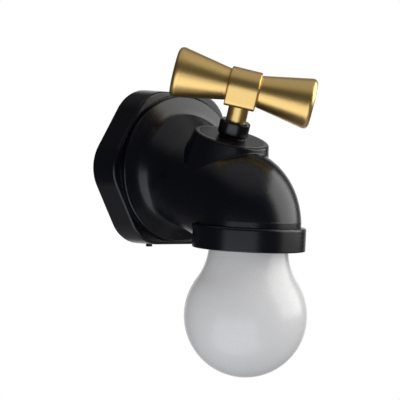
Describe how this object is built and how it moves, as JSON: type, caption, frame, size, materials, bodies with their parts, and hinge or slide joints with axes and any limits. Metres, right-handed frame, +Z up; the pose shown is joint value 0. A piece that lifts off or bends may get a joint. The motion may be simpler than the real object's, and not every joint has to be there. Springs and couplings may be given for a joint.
{
  "type": "pipe-style wall light",
  "caption": "Tap-shaped wall light: hexagonal wall plate, curved pipe body, turning T-handle switch and a milky bulb-shaped globe pointing down.",
  "frame": {"origin": "centre of the hexagonal wall plate's back face, on the wall", "axes": "+Z up, +Y into the wall, so the light stands out along -Y, X to the right seen from the front"},
  "size_m": [0.0652, 0.0783, 0.1221],
  "materials": {
    "black_shell": "satin black moulded ABS",
    "gland_black": "gloss black",
    "gold_satin": "satin gold anodised metal",
    "opal": "milky polycarbonate, soft satin skin",
    "steel": "zinc-plated steel",
    "magnet_plate": "nickel plating",
    "tape": "acrylic foam tape",
    "board_green": "solder mask over glass fibre",
    "board_white": "white solder mask over aluminium",
    "chip_black": "moulded epoxy",
    "led_phosphor": "phosphor in a white frame",
    "cell_foil": "laminated foil",
    "tray_plastic": "moulded ABS",
    "foam": "closed-cell foam",
    "silicone": "soft silicone",
    "switch_metal": "plated switch case",
    "switch_plastic": "brown laminate and acetal",
    "contact_brass": "tinned brass",
    "lead_red": "silicone insulation"
  },
  "bodies": {
    "housing": {"hex_plate": "black_shell", "back_lid": "black_shell", "lid_screws": "steel", "magnets": "magnet_plate", "wall_disc": "steel", "adhesive_pad": "tape", "tap_body": "black_shell", "flange_screws": "steel", "control_board": "board_green", "board_screws": "steel", "charge_socket": "magnet_plate", "slide_switch": "chip_black", "board_parts": "chip_black", "battery_tray": "tray_plastic", "tray_screws": "steel", "battery_cell": "cell_foil", "battery_foam": "foam", "lamp_board": "board_white", "leds": "led_phosphor", "lamp_board_screws": "steel", "globe": "opal", "globe_gasket": "silicone", "spout_ring": "black_shell", "bonnet_cap": "black_shell", "gland_washer": "silicone", "gland_nut": "gland_black", "switch_case": "switch_metal", "switch_floor": "switch_plastic", "switch_terminals": "contact_brass", "click_spring": "steel", "lamp_lead": "lead_red", "switch_lead": "lead_red"},
    "handle": {"stem": "gold_satin", "switch_rotor": "switch_plastic", "handle_hub": "gold_satin", "handle_bar": "steel", "grip_left": "gold_satin", "grip_right": "gold_satin"},
    "power_knob": {"slide_knob": "black_shell"}
  },
  "joints": [
    {"name": "handle_turn", "type": "hinge", "parent": "housing", "child": "handle", "pos_m": [0, -0.04841, 0.03198], "axis": [0, -0.2823, 0.9593], "range_deg": [-46.5, 43.5]},
    {"name": "power_slide", "type": "slide", "parent": "housing", "child": "power_knob", "axis": [1, 0, 0], "range_m": [-0.0012, 0.0012]}
  ]
}
